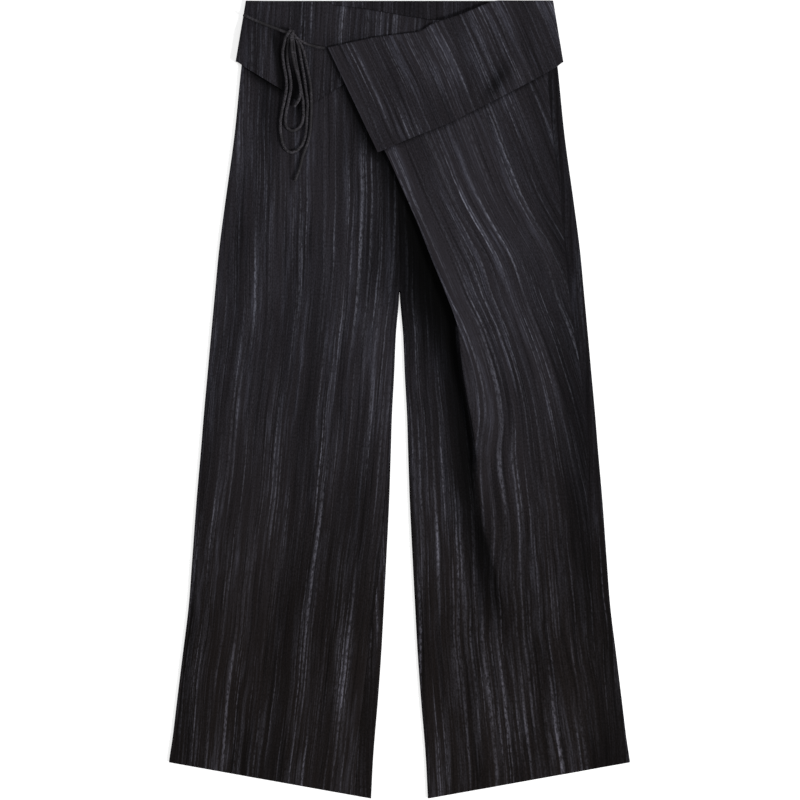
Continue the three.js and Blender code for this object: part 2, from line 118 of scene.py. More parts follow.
outline = {
    "depth": [0, 91, 188, 275, 344, 402, 461, 516, 571, 620, 689, 771, 836, 901, 966, 1016, 1050, 1100],
    "outer": [206.5, 218, 228, 240, 249, 254.5, 260, 265, 270, 274, 280, 286, 291, 299, 307, 313, 318, 322],
    "inner": [0, 0, 0, 0, 0, 0, 4.8, 7.2, 10.2, 11.7, 14, 18, 21.4, 25, 29.7, 34, 36.5, 39],
}
turnOver = {
    "depth": [0, 109, 214, 366, 465, 516, 629, 688, 781, 872, 988, 1100],
    "rightSide": [4, 4, 4, 4, 4, 4, 4, 4, 4, 4, 4, 4],
    "leftSide": [15, 16, 17, 21, 19, 15, 15, 20, 21, 24, 33, 42],
    "rightInner": [3, 3, 3, 3, 3, 3, 4, 6, 9, 16, 21, 22],
    "leftInner": [3, 3, 3, 3, 3, 3, 3, 4, 8, 10, 6, 4],
}
underFold = {"x": [-214, -102, -92, -46, 10, 48, 76], "depth": [0, 1.4, 6, 11.6, 21.4, 27, 26]}
wrapFold = {"x": [-98.7, -68, -34, 28, 47, 85, 121, 132, 214], "depth": [65, 58, 50.5, 43, 31, 19, 4, 0, 0]}
wrapEdge = {
    "depth": [65, 211, 272, 316, 361, 399, 451, 487, 531, 606, 660, 720, 800, 1100],
    "x": [-98.7, -18.6, 9, 28, 45.5, 61, 80, 84, 90, 103, 107, 112, 118, 150],
    "lift": [0.5, 2, 3.6, 5.4, 7.6, 9.2, 10, 10, 9.4, 8, 6.4, 4.6, 2.4, 0],
}
underHem = {"x": [-226, -217, -163, -127, -79, 70], "depth": [83, 90, 123, 146, 117, 36]}
wrapHem = {"x": [-30, 12.6, 65, 112.5, 177, 219.5, 226], "depth": [210.5, 191.3, 171, 147.4, 114, 90.5, 83]}
splitDepth = 451.0
underlapDepth = 188.0
underlapX = 75.0
slitX = 105.0
lowTop = underlapDepth + 2
# Where the wrap's top begins at the left, and its room inside the fold
wrapTop = {"x": -97.2, "depth": 66.8, "room": 3.2}

# Soft ridges and, with a height below zero, troughs: from and to, height and half width
creases = [
    (-190, 200, -232, 560, 2.0, 22),
    (-120, 360, -150, 700, 1.8, 26),
    (-60, 430, -120, 980, 2.4, 22),
    (-215, 700, -262, 1010, 2.0, 24),
    (-14, 290, -52, 560, 2.0, 16),
    (190, 330, 206, 640, 2.0, 20),
    (150, 620, 128, 760, 3.0, 14),
    (128, 740, 168, 940, 2.4, 16),
    (222, 680, 246, 1000, 2.2, 20),
    (60, 640, 74, 980, 2.2, 18),
    (132, 700, 166, 880, 4.0, 15),
    (96, 472, 140, 454, 1.6, 7),
    (100, 484, 150, 502, 1.3, 8),
    (-12, 400, -66, 300, 1.3, 9),
    (-14, 424, -72, 530, 1.5, 10),
    (20, 434, 52, 540, 1.5, 10),
    (-235, 560, -262, 700, 1.5, 11),
    (-90, 760, -102, 1060, 2.0, 14),
    (-180, 820, -204, 1090, 1.8, 13),
    (-150, 560, -176, 800, -1.0, 16),
    (100, 860, 124, 1090, 2.2, 14),
    (196, 860, 238, 1080, 2.4, 16),
    (176, 480, 198, 700, 2.0, 13),
    (206, 640, 224, 860, -1.0, 15),
]
# Lower ones in the back, which lies on the floor
backCreases = [
    (-180, 240, -214, 620, 0.9, 18),
    (-90, 300, -130, 760, 0.8, 22),
    (-210, 720, -256, 1040, 0.9, 20),
    (-70, 560, -110, 960, 0.7, 16),
    (60, 260, 90, 700, 0.9, 20),
    (170, 300, 190, 620, 0.8, 18),
    (120, 720, 160, 1060, 0.9, 22),
    (226, 640, 262, 980, 0.8, 18),
]


def creaseHeight(x, depth, lines=creases):
    height = 0
    for fromX, fromDepth, toX, toDepth, top, spread in lines:
        alongX, alongDepth = toX - fromX, toDepth - fromDepth
        long = math.hypot(alongX, alongDepth)
        share = ((x - fromX) * alongX + (depth - fromDepth) * alongDepth) / long ** 2
        off = np.abs((x - fromX) * alongDepth - (depth - fromDepth) * alongX) / long
        fade = smooth(-0.25, 0.3, share) * (1 - smooth(0.7, 1.25, share))
        height = height + top * fade * np.exp(-(off / spread) ** 2)
    return height


def centreAt(depth):
    return centreX * (1 - smooth(250, crotchDepth, depth))


# The outer and inner side of a leg on a row; side is 1 for the wearer's left leg and -1 for the right one
def legRow(side, depth):
    share = np.maximum(0, (depth - crotchDepth) / (hemDepths["inner"] - crotchDepth))
    outerDepth = depth - (hemDepths["inner"] - hemDepths["outer"]) * share
    outer = side * curveAt(outline, "outer", outerDepth)
    inner = side * np.where(depth > crotchDepth, curveAt(outline, "inner", depth), 0) + centreAt(depth)
    return {"outer": outer, "inner": inner, "depth": depth, "outerDepth": outerDepth}


def depthAt(row, x):
    share = np.clip((x - row["inner"]) / (row["outer"] - row["inner"]), 0, 1)
    return mix(row["depth"], row["outerDepth"], share)


def backLevel(depth):
    return onFloor + cloth["step"] * (1 - smooth(96, 148, depth))


def sideLevel(side, depth):
    if side < 0:
        return mix(frontAtHip, frontAtLeg, smooth(*hipDepths, depth))
    return mix(wrapAtSide, frontAtLeg, smooth(splitDepth, settledDepth, depth))


def sideSeam(side, depth):
    over = curveAt(turnOver, "rightSide" if side < 0 else "leftSide", depth)
    return legRow(side, depth)["outer"] - side * over


innerRadius = (frontAtLeg - onFloor) / 2


def innerSeam(side, depth):
    over = curveAt(turnOver, "rightInner" if side < 0 else "leftInner", depth)
    least = cloth["solidWall"] / 2 + innerRadius + seam["room"]
    return legRow(side, depth)["inner"] + side * np.maximum(over, least)


def innerTurn(side, depth):
    return legRow(side, depth)["inner"] + side * (cloth["solidWall"] / 2 + innerRadius)


def crotchRise(x, depth):
    near = smooth(372, 398, depth) * (1 - smooth(444, 487, depth))
    return 2 * near * (1 - smooth(10, 34, np.abs(x)))


def edgeFade(x, start, end, reach=26):
    return smooth(0, reach, np.minimum(np.abs(x - start), np.abs(x - end)))


# Sewn edges lie a little lower
def seamDip(distance):
    return -seam["low"] * np.exp(-(distance / seam["wide"]) ** 2)


# Closer columns at both ends
def spread(u):
    return u - 0.1 * np.sin(2 * math.pi * u)


# Cloth sheets: a flat grid is added, and its points are moved to where place(u, v) says, u across and v down

def clothGrid(name, across, down, place, grain, shade, flip=False):
    bpy.ops.object.select_all(action="DESELECT")
    bpy.ops.mesh.primitive_grid_add(x_subdivisions=across, y_subdivisions=down, size=1)
    sheet = bpy.context.active_object
    sheet.name = sheet.data.name = name
    points = np.empty(len(sheet.data.vertices) * 3)
    sheet.data.vertices.foreach_get("co", points)
    points = points.reshape(-1, 3)
    u, v = points[:, 0] + 0.5, 0.5 - points[:, 1]
    if flip:
        u = 1 - u
    x, depth, z = place(u, v)
    moved = np.stack([x, halfLength - depth, z + 0 * x], axis=1) * metre
    sheet.data.vertices.foreach_set("co", moved.ravel())
    corner = np.empty(len(sheet.data.loops), int)
    sheet.data.loops.foreach_get("vertex_index", corner)
    # The attribute holds painted shade and light, one value a point, which darkens or lightens the cloth's
    # colour
    paintedShadeAndLight = sheet.data.attributes.new("paintedShadeAndLight", "FLOAT", "POINT")
    paintedShadeAndLight.data.foreach_set("value", shade(x, depth) + 0 * x)
    threads = np.stack(grain(x, depth), axis=1) * metre
    sheet.data.uv_layers[0].data.foreach_set("uv", threads[corner].ravel())
    sheet.data.uv_layers[0].name = "grain"
    sheet.data.update()
    return sheet


def joinSheets(sheets):
    bpy.ops.object.select_all(action="DESELECT")
    for sheet in sheets:
        sheet.select_set(True)
    bpy.context.view_layer.objects.active = sheets[0]
    bpy.ops.object.join()
    bpy.ops.object.mode_set(mode="EDIT")
    bpy.ops.mesh.select_all(action="SELECT")
    bpy.ops.mesh.remove_doubles(threshold=0.02 * metre)
    bpy.ops.object.mode_set(mode="OBJECT")
    return bpy.context.active_object


def finishSheet(sheet, material, nodes):
    bpy.ops.object.select_all(action="DESELECT")
    sheet.select_set(True)
    bpy.context.view_layer.objects.active = sheet
    sheet.data.materials.clear()
    sheet.data.materials.append(material)
    wall = sheet.modifiers.new("wall", "SOLIDIFY")
    wall.thickness = cloth["wall"] * metre
    wall.offset = 0
    bpy.ops.object.modifier_apply(modifier=wall.name)
    bpy.ops.object.shade_smooth_by_angle(angle=math.radians(50))
    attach(sheet, "root")
    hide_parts(*nodes)


# Painted shade and light, kept in an attribute that scales the cloth's colour: 1 in the open, less in the
# hollows that stay in shade

# Painted shade in the hollow to the left of the wrap's free edge and its soft fold: where the edge runs, how
# much darker, and how far the shade reaches
hollow = {
    "depth": [40, 65, 120, 205, 225, 272, 316, 361, 399, 451, 487, 531, 606, 660, 720, 780, 825, 880],
    "x": [-104, -98.7, -72, -32, -12, 9, 28, 45.5, 61, 80, 84, 90, 103, 107, 115, 131, 141, 150],
    "share": [0, 0.35, 0.74, 0.9, 0.9, 0.93, 0.96, 0.97, 0.97,
              0.96, 0.95, 0.93, 0.9, 0.88, 0.84, 0.76, 0.6, 0],
    "reach": [8, 8, 12, 20, 23, 34, 56, 76, 86, 70, 54, 44, 44, 46, 45, 42, 36, 26],
}
# Painted shade towards the left leg's outer side: how much, by depth
outerEdge = {"depth": [60, 200, 350, 480, 700, 850, 1000], "share": [0, 0.2, 0.4, 0.6, 0.62, 0.42, 0.2]}


def hollowGap(x, depth):
    return np.interp(depth, hollow["depth"], hollow["x"]) - x


def hollowShade(x, depth):
    reach = np.interp(depth, hollow["depth"], hollow["reach"])
    share = np.interp(depth, hollow["depth"], hollow["share"])
    return 1 - share * np.exp(-(np.maximum(hollowGap(x, depth), 0) / reach) ** 3)


# Painted shade in soft spots: between the bow's strands, under the lower flap's raised corner, in the wrap
# flap's dent
shadeSpots = {
    "bow": {"x": -141, "depth": 122, "wide": 9, "long": 48, "power": 4, "share": 0.74},
    "corner": {"x": -175, "depth": 150, "wide": 15, "long": 62, "power": 2, "share": 0.42},
    "dent": {"x": 133, "depth": 114, "wide": 12, "long": 24, "power": 2, "share": 0.72},
}
dentLean = 0.5


def spotShade(name, x, depth):
    spot = shadeSpots[name]
    across, along = (x - spot["x"]) / spot["wide"], (depth - spot["depth"]) / spot["long"]
    return 1 - spot["share"] * np.exp(-across ** 2 - along ** spot["power"])


# Painted shade just below a hem, so much and so far
def hemShade(hem, x, depth, share, reach):
    below = np.maximum(depth - np.interp(x, hem["x"], hem["depth"]), 0)
    return 1 - share * np.exp(-(below / reach) ** 2)


# Painted shade on the right front: below the lower flap's hem, between the bow's strands, under the flap's
# raised corner, towards the outer side lower down the leg, and in the hollow beside the wrap
def rightFrontShade(x, depth):
    share = mix(0.85, 0.2, smooth(-164, -150, x)) * (1 - smooth(-60, 0, x)) * smooth(-222, -196, x)
    reach = mix(10, 4, smooth(-166, -150, x))
    under = hemShade(underHem, x, depth, share, reach)
    under = under * spotShade("bow", x, depth) * spotShade("corner", x, depth)
    side = 1 - 0.25 * (1 - smooth(0, 34, x - legRow(-1, depth)["outer"])) * smooth(450, 640, depth)
    return hollowShade(x, depth) * under * side


# Beside the raised corner of the lower flap, the cord pulls it down along this line
def cliffX(depth):
    return mix(-172, -163.5, (depth - 56) / 67)


# Painted shade on the lower flap: a little darker all over, darker in the pocket beside its raised corner,
# between the bow's strands and near the wrap
def underFlapShade(x, depth):
    past = x - cliffX(depth)
    pocket = np.exp(-(np.maximum(past, 0) / 13) ** 2) * smooth(-9, -1, past) * smooth(22, 54, depth)
    return 0.92 * hollowShade(x, depth) * spotShade("bow", x, depth) * (1 - 0.84 * pocket)


# Painted light and shade on the open cloth of the left leg: lighter on the thigh, darker towards the outer
# side seam
def openLightAndShade(x, depth):
    share = np.interp(depth, outerEdge["depth"], outerEdge["share"])
    edge = np.maximum(sideSeam(1, depth) - x, 0)
    return mix(1.15, 1.0, smooth(620, 860, depth)) * (1 - share * np.exp(-(edge / 34) ** 2))


# Painted light and shade on the wrap, with painted shade just below its flap's hem
def wrapShade(x, depth):
    return openLightAndShade(x, depth) * hemShade(wrapHem, x, depth, 0.5, 4)


# Painted light and shade on the wrap's flap, with painted shade in its dent
def wrapFlapShade(x, depth):
    leaning = x + dentLean * (depth - shadeSpots["dent"]["depth"])
    return openLightAndShade(x, depth) * spotShade("dent", leaning, depth)


# On the leg below the slit: the open cloth's painted light and shade, and the painted shade of the hollow
# left of the soft fold
def legShade(x, depth):
    return mix(openLightAndShade(x, depth), hollowShade(x, depth), smooth(-5, 5, hollowGap(x, depth)))


# Painted shade on the back and its flap: a little darker all over, much darker where it turns up at the left
# leg's outer side, and darker in a band by the middle where the back shows inside the waist
def stripShade(x, depth):
    neck = 1 - 0.24 * smooth(-30, 60, x) * (1 - smooth(90, 150, x))
    strip = smooth(-10, -2, x - sideSeam(1, depth))
    return mix(0.9, mix(0.47, 0.6, smooth(700, 900, depth)), strip) * neck


# Where the threads run: across and along the grain, so that the streaks follow the cloth
# Each panel adds a thousand of its own, so that no two show the same stretch of the pattern

def grainRightLeg(x, depth):
    lean = 0.06 * np.maximum(0, depth - 250) - 0.06 * 100 * (1 - np.exp(-np.maximum(0, depth - 250) / 100))
    lean = lean + 0.05 * np.maximum(0, depth - 420)
    return x + lean + 1000, depth


# On the left leg the wrap's threads slant, and below the slit they turn upright across the soft fold
def grainLeft(x, depth, wrapShare):
    row = legRow(1, depth)
    width = mix(252, np.abs(row["outer"] - row["inner"]), 0.85 * smooth(300, 700, depth))
    share = (x - row["inner"]) / width * 262
    below = np.maximum(0, depth - 440)
    slant = np.where(depth > 440, 70 * (1 - np.exp(-below / 170)), 0.42 * (depth - 440))
    fromEdge = x - curveAt(wrapEdge, "x", depth)
    joined = smooth(-90, 190, fromEdge)
    slant = slant * mix(wrapShare, joined, smooth(splitDepth, 690, depth))
    rippled = smooth(560, 640, depth) * (1 - smooth(780, 880, depth))
    ripple = 3 * np.exp(-((x - 140) / 36) ** 2) * np.sin((depth - 560) / 34) * rippled
    ripple = ripple - 12 * np.exp(-((depth - 362) / 58) ** 2) * smooth(8, 90, fromEdge)
    return share - slant + ripple + 2000, depth


def grainWrap(x, depth):
    return grainLeft(x, depth, 1)


def grainLow(x, depth):
    return grainLeft(x, depth, 0)


def grainLower(x, depth):
    return grainLeft(x, depth, 1.0 * (x > foldX(depth) - 0.3))


def grainBack(x, depth):
    return x * (1 - 0.0002 * depth) + 3000, depth


def grainWrapFlap(x, depth):
    return (x - 0.46 * depth) * 0.91 + 4000, depth + 0.42 * x


def grainUnderFlap(x, depth):
    return x + 0.04 * depth + 5000, depth


# Cloth material: streaks run along the second coordinate of the sheet's grain map

def addNode(tree, kind, settings=None, **sockets):
    node = tree.nodes.new(kind)
    for name, value in (settings or {}).items():
        setattr(node, name, value)
    for name, value in sockets.items():
        socket = node.inputs[int(name[1:])] if name[0] == "i" and name[1:].isdigit() else node.inputs[name]
        if isinstance(value, bpy.types.NodeSocket):
            tree.links.new(value, socket)
        else:
            socket.default_value = value
    return node


def maths(tree, operation, first, second=0.0, clamp=False):
    settings = {"operation": operation, "use_clamp": clamp}
    return addNode(tree, "ShaderNodeMath", settings, i0=first, i1=second).outputs[0]


def remap(tree, value, low, high, toLow=0.0, toHigh=1.0):
    settings = {"interpolation_type": "SMOOTHSTEP"}
    return addNode(tree, "ShaderNodeMapRange", settings, i0=value, i1=low, i2=high, i3=toLow,
                   i4=toHigh).outputs[0]


# The grain map's point, so many units per metre across and along, and moved by shift
def stretched(tree, grain, across, along, shift):
    return addNode(tree, "ShaderNodeVectorMath", {"operation": "MULTIPLY_ADD"}, i0=grain,
                   i1=(across, along, 0.0), i2=(shift, shift * 0.7, 0.0)).outputs[0]


def noiseAt(tree, where, detail, roughness):
    flat = {"noise_dimensions": "2D"}
    noise = addNode(tree, "ShaderNodeTexNoise", flat, Vector=where, Scale=1.0, Detail=detail)
    noise.inputs["Roughness"].default_value = roughness
    return noise.outputs[0]


# Thin spindles along the threads, each with its own strength
def spindles(tree, where, radius):
    cells = addNode(tree, "ShaderNodeTexVoronoi", {"voronoi_dimensions": "2D"}, Vector=where, Scale=1.0)
    shape = remap(tree, cells.outputs["Distance"], radius, radius * 0.2)
    own = addNode(tree, "ShaderNodeSeparateXYZ", i0=cells.outputs["Color"]).outputs[0]
    return maths(tree, "MULTIPLY", shape, maths(tree, "POWER", own, 1.6))


def blend(tree, share, first, second):
    return addNode(tree, "ShaderNodeMix", {"data_type": "RGBA"}, i0=share, i6=first, i7=second).outputs[2]


# Noise in the pattern: repeats per metre across and along the threads, shift, detail and roughness of the
# noise, and the two values of the noise that become the layer's ends (0 and 1, or the next two numbers)
noises = {
    "bands": {"size": (16, 2.2, 8.3), "noise": (2, 0.55), "ends": (0.34, 0.66, 0.74, 1.18)},
    "patches": {"size": (34, 4, 1.9), "noise": (3, 0.55), "ends": (0.42, 0.62)},
    "haze": {"size": (150, 7, 4.1), "noise": (5, 0.66), "ends": (0.42, 0.66)},
    "hatch": {"size": (560, 30, 5.3), "noise": (3, 0.55), "ends": (0.38, 0.64)},
    "gaps": {"size": (230, 5.5, 6.6), "noise": (3, 0.55), "ends": (0.3, 0.48, 0.6, 1.0)},
    "broken": {"size": (420, 130, 2.7), "noise": (2, 0.55), "ends": (0.36, 0.56, 0.2, 1.0)},
    "weave": {"size": (640, 330, 1.1), "noise": (2, 0.55), "ends": (0.3, 0.7, 0.72, 1.24)},
}
# Bright threads: repeats per metre across and along, shift, radius of a spindle and strength
brightThreads = [
    {"size": (84, 1.1, 7.7), "radius": 0.22, "share": 1.0},
    {"size": (160, 1.9, 3.3), "radius": 0.26, "share": 0.8},
    {"size": (340, 3.2, 6.1), "radius": 0.36, "share": 0.6},
]
# Each colour as it is near the hems and at the top, changing between these two heights in metres; the
# lighter top is painted light
clothColours = {
    "ground": ((0.0074, 0.0057, 0.0056, 1), (0.0146, 0.0130, 0.0157, 1)),
    "misty": ((0.0238, 0.0222, 0.0266, 1), (0.0372, 0.0370, 0.0482, 1)),
    "bright": ((0.090, 0.087, 0.106, 1), (0.122, 0.125, 0.153, 1)),
}
paintedLightHeights = (-0.37, 0.16)
black = (0.0, 0.0, 0.0, 1)


def noiseLayer(tree, where, name):
    layer = noises[name]
    noise = noiseAt(tree, stretched(tree, where, *layer["size"]), *layer["noise"])
    return remap(tree, noise, *layer["ends"])


def makeClothMaterial():
    material = bpy.data.materials.new("streakedCloth")
    material.use_nodes = True
    tree = material.node_tree
    shader = tree.nodes["Principled BSDF"]
    grain = addNode(tree, "ShaderNodeUVMap", {"uv_map": "grain"}).outputs[0]
    place = addNode(tree, "ShaderNodeTexCoord").outputs["Object"]
    height = addNode(tree, "ShaderNodeSeparateXYZ", i0=place).outputs[1]
    flat = {"noise_dimensions": "2D"}
    wander = addNode(tree, "ShaderNodeTexNoise", flat, Vector=grain, Scale=5.0, Detail=2.0)
    sway = addNode(tree, "ShaderNodeVectorMath", {"operation": "MULTIPLY_ADD"},
                   i0=wander.outputs[1], i1=(0.010, 0.0, 0.0), i2=grain).outputs[0]
    hatch = noiseLayer(tree, sway, "hatch")
    group = maths(tree, "ADD", maths(tree, "MULTIPLY", noiseLayer(tree, sway, "patches"), 0.72), 0.28)
    lines = 0.0
    for thread in brightThreads:
        streaks = spindles(tree, stretched(tree, sway, *thread["size"]), thread["radius"])
        lines = maths(tree, "ADD", maths(tree, "MULTIPLY", streaks, thread["share"]), lines)
    lines = maths(tree, "MULTIPLY", lines, group)
    lines = maths(tree, "MULTIPLY", lines, noiseLayer(tree, sway, "broken"), clamp=True)
    brushed = maths(tree, "ADD", maths(tree, "MULTIPLY", hatch, 0.65), 0.35)
    brushed = maths(tree, "MULTIPLY", noiseLayer(tree, sway, "haze"), brushed)
    brushed = maths(tree, "MULTIPLY", brushed, group, clamp=True)
    # Painted light: each colour is lighter towards the top of the trousers
    top = remap(tree, height, *paintedLightHeights)
    ground = blend(tree, top, *clothColours["ground"])
    misty = blend(tree, top, *clothColours["misty"])
    bright = blend(tree, top, *clothColours["bright"])
    colour = blend(tree, lines, blend(tree, brushed, ground, misty), bright)
    patterned = maths(tree, "MULTIPLY", noiseLayer(tree, sway, "gaps"), noiseLayer(tree, sway, "bands"))
    patterned = maths(tree, "MULTIPLY", patterned, noiseLayer(tree, grain, "weave"))
    # Painted shade and light from the sheet's attribute, times the cloth's own pattern of gaps, bands and
    # weave, darkens the colour towards black
    paintedShadeAndLight = addNode(tree, "ShaderNodeAttribute", {"attribute_name": "paintedShadeAndLight"}).outputs["Fac"]
    shadeLightAndPattern = maths(tree, "MULTIPLY", paintedShadeAndLight, maths(tree, "MULTIPLY", patterned, 0.85))
    tree.links.new(blend(tree, shadeLightAndPattern, black, colour), shader.inputs["Base Color"])
    shader.inputs["Roughness"].default_value = 0.85
    shader.inputs["Specular IOR Level"].default_value = 0.04
    relief = maths(tree, "ADD", lines, maths(tree, "MULTIPLY", hatch, 0.5))
    bump = addNode(tree, "ShaderNodeBump", Height=relief, Strength=0.35, Distance=0.0005)
    tree.links.new(bump.outputs[0], shader.inputs["Normal"])
    return material


streakedCloth = makeClothMaterial()
print("cloth material ready")


# Back panels: on the floor, turned up round the outer side and, below the crotch, round the inner leg

backColumns = {"shared": 50, "hip": 2, "leg": 12, "turned": 8}
# Across a row: where the strip on top ends, and where the cloth on the floor begins
backShares = {"strip": 0.16, "floor": 0.32}


def outerPart(side, s, depth):
    row = legRow(side, depth)
    low, high = backLevel(depth), sideLevel(side, depth)
    radius = (high - low) / 2
    turnX = row["outer"] - side * (cloth["solidWall"] / 2 + radius)
    stripEnd, floorStart = backShares["strip"], backShares["floor"]
    angle = math.pi / 2 - math.pi * np.clip((s - stripEnd) / (floorStart - stripEnd), 0, 1)
    strip = mix(sideSeam(side, depth), turnX, s / stripEnd)
    floor = mix(turnX, innerTurn(side, depth), (s - floorStart) / (1 - floorStart))
    turned = turnX + side * radius * np.cos(angle)
    x = np.where(s < stripEnd, strip, np.where(s > floorStart, floor, turned))
    fade = smooth(180, 240, depth) * edgeFade(x, turnX, innerTurn(side, depth))
    crease = creaseHeight(x, depth, backCreases) * fade
    sewn = seamDip(strip - sideSeam(side, depth)) * (s < stripEnd)
    return x, low + radius * (1 + np.sin(angle)) + crease * (s > floorStart) + sewn


def backHip(side):
    def place(u, v):
        depth = mix(foldRadius, crotchDepth, v)
        s = u * (backColumns["shared"] + backColumns["hip"]) / backColumns["shared"]
        row = legRow(side, depth)
        x, z = outerPart(side, np.minimum(s, 1), depth)
        last = (s - 1) * backColumns["shared"] / backColumns["hip"]
        x = np.where(s > 1 + 1e-6, mix(innerTurn(side, depth), row["inner"], last), x)
        return x, depthAt(row, x), z
    return place


def backLeg(side):
    def place(u, v):
        depth = mix(crotchDepth, hemDepths["inner"], v)
        s = u * (backColumns["shared"] + backColumns["leg"]) / backColumns["shared"]
        row = legRow(side, depth)
        x, z = outerPart(side, np.minimum(s, 1), depth)
        turn = (s - 1) * backColumns["shared"] / backColumns["turned"]
        angle = np.clip(turn, 0, 1) * math.pi - math.pi / 2
        start = innerTurn(side, depth)
        turned = start - side * innerRadius * np.cos(angle)
        stripShare = (turn - 1) * backColumns["turned"] / (backColumns["leg"] - backColumns["turned"])
        strip = mix(start, innerSeam(side, depth), stripShare)
        inner = s > 1 + 1e-6
        x = np.where(inner, np.where(turn > 1, strip, turned), x)
        z = np.where(inner, onFloor + innerRadius * (1 + np.sin(angle)), z)
        return x, depthAt(row, x), z
    return place


def makeBack(name, side, node):
    shared = backColumns["shared"]
    hip = clothGrid(name, shared + backColumns["hip"], 80, backHip(side), grainBack, stripShade)
    leg = clothGrid(name + "Leg", shared + backColumns["leg"], 140, backLeg(side), grainBack, stripShade)
    finishSheet(joinSheets([hip, leg]), streakedCloth, [node])


makeBack("backRight", -1, "back_right")
makeBack("backLeft", 1, "back_left")
print("back panels ready")


# Right front: from the right side seam to the centre seam and inner leg, with its underlap at the waist

def rightFrontEdge(depth):
    top = mix(underlapX, centreX, depth / underlapDepth)
    below = np.where(depth <= crotchDepth, centreAt(depth), innerSeam(-1, depth))
    return np.where(depth < underlapDepth, top, below)


def rightFrontLevel(x, depth):
    level = mix(frontAtHip, frontAtLeg, smooth(*hipDepths, depth))
    fade = edgeFade(x, sideSeam(-1, depth), rightFrontEdge(depth)) * smooth(150, 230, depth)
    sewnInside = seamDip(x - rightFrontEdge(depth)) * (depth > underlapDepth)
    dips = seamDip(x - sideSeam(-1, depth)) + sewnInside
    return level + creaseHeight(x, depth) * fade + crotchRise(x, depth) + dips


def placeRightFront(u, v):
    u = spread(u)
    depth = v * hemDepths["inner"]
    row = legRow(-1, depth)
    x = mix(sideSeam(-1, depth), rightFrontEdge(depth), u)
    shift = (lineAt(underFold, x) + 2) * (1 - smooth(0, 190, depth))
    return x, depthAt(row, x) + shift, rightFrontLevel(x, depth)


frontRight = clothGrid("frontRight", 90, 250, placeRightFront, grainRightLeg, rightFrontShade)
finishSheet(frontRight, streakedCloth, ["front_right"])


# Left front, one sheet with a slit: a low part beside the centre seam, and the wrap over the right front

leftColumns = {"low": 30, "high": 54}


def foldX(depth):
    return curveAt(wrapEdge, "x", depth)


def lowEnd(depth):
    cut = mix(slitX, foldX(splitDepth) + 1, (depth - lowTop) / (splitDepth - lowTop))
    below = foldX(depth) + mix(1, -8, smooth(splitDepth, 720, depth))
    return np.where(depth < splitDepth, cut, below)


def placeLow(u, depth):
    row = legRow(1, depth)
    start = np.where(depth <= crotchDepth, row["inner"], innerSeam(1, depth))
    x = mix(start, lowEnd(depth), u)
    fade = smooth(0, 20, x - start) * smooth(splitDepth - 20, splitDepth + 120, depth)
    level = frontAtLeg + creaseHeight(x, depth) * fade + crotchRise(x, depth)
    return x, depthAt(row, x), level + seamDip(x - start)


def highLevel(x, depth):
    corner = mix(wrapLevel, wrapAtSide, smooth(60, 185, x))
    hip = mix(corner, wrapAtSide, smooth(150, splitDepth - 60, depth))
    level = mix(hip, frontAtLeg, smooth(splitDepth, settledDepth, depth))
    lift = curveAt(wrapEdge, "lift", depth) * np.exp(-((x - foldX(depth)) / 36) ** 2)
    fade = smooth(0, 26, sideSeam(1, depth) - x) * smooth(230, 330, depth)
    return level + lift + creaseHeight(x, depth) * fade + seamDip(x - sideSeam(1, depth))


def placeHigh(u, depth):
    u = spread(u)
    row = legRow(1, depth)
    x = mix(foldX(depth), sideSeam(1, depth), u)
    return x, depthAt(row, x), highLevel(x, depth)


def placeLower(u, v):
    depth = mix(splitDepth, hemDepths["inner"], v)
    low, high = leftColumns["low"], leftColumns["high"]
    at = u * (low + 1 + high)
    lowPlace = placeLow(np.minimum(at / low, 1), depth)
    highPlace = placeHigh(np.maximum((at - low - 1) / high, 0), depth)
    return tuple(np.where(at < low + 0.5, a, b) for a, b in zip(lowPlace, highPlace))


def placeUpperLow(u, v):
    return placeLow(u, mix(lowTop, splitDepth, v))


def placeWrap(u, v):
    endX, endDepth = placeHigh(u, splitDepth + 0 * u)[:2]
    u = spread(u)
    cornerX, cornerDepth = placeHigh(np.array([0.0, 1.0]), np.array([splitDepth] * 2))[:2]
    left, right = wrapTop["x"], sideSeam(1, foldRadius)
    high = mix(left, right, u)
    depth = mix(lineAt(wrapFold, high) + wrapTop["room"], endDepth, v)
    leftOff = foldX(mix(wrapTop["depth"], splitDepth, v)) - mix(left, cornerX[0], v)
    rightOff = sideSeam(1, mix(foldRadius, cornerDepth[1], v)) - mix(right, cornerX[1], v)
    above = v < 1 - 1e-6
    x = mix(high, endX, v) + mix(leftOff, rightOff, u) * above
    return x, depth, highLevel(x, np.where(above, depth, splitDepth))


lowerColumns = leftColumns["low"] + 1 + leftColumns["high"]
lowerLeft = clothGrid("frontLeft", lowerColumns, 150, placeLower, grainLower, legShade)
upperLow = clothGrid("upperLow", leftColumns["low"], 60, placeUpperLow, grainLow, hollowShade)
wrap = clothGrid("wrap", leftColumns["high"], 110, placeWrap, grainWrap, wrapShade)
frontLeft = joinSheets([lowerLeft, upperLow, wrap])
finishSheet(frontLeft, streakedCloth, ["front_left"])
print("front panels ready")


# Folded-over flaps: each lies on its panel, rounded over at the fold and at the trousers' sides

rollShare = 0.08  # The part of the rows that rolls over at the fold
pastFold = 99  # Takes the other rows so far past the fold that it doesn't round them
rimColumns = 0.05  # The part of the columns that rounds over at a side of the trousers


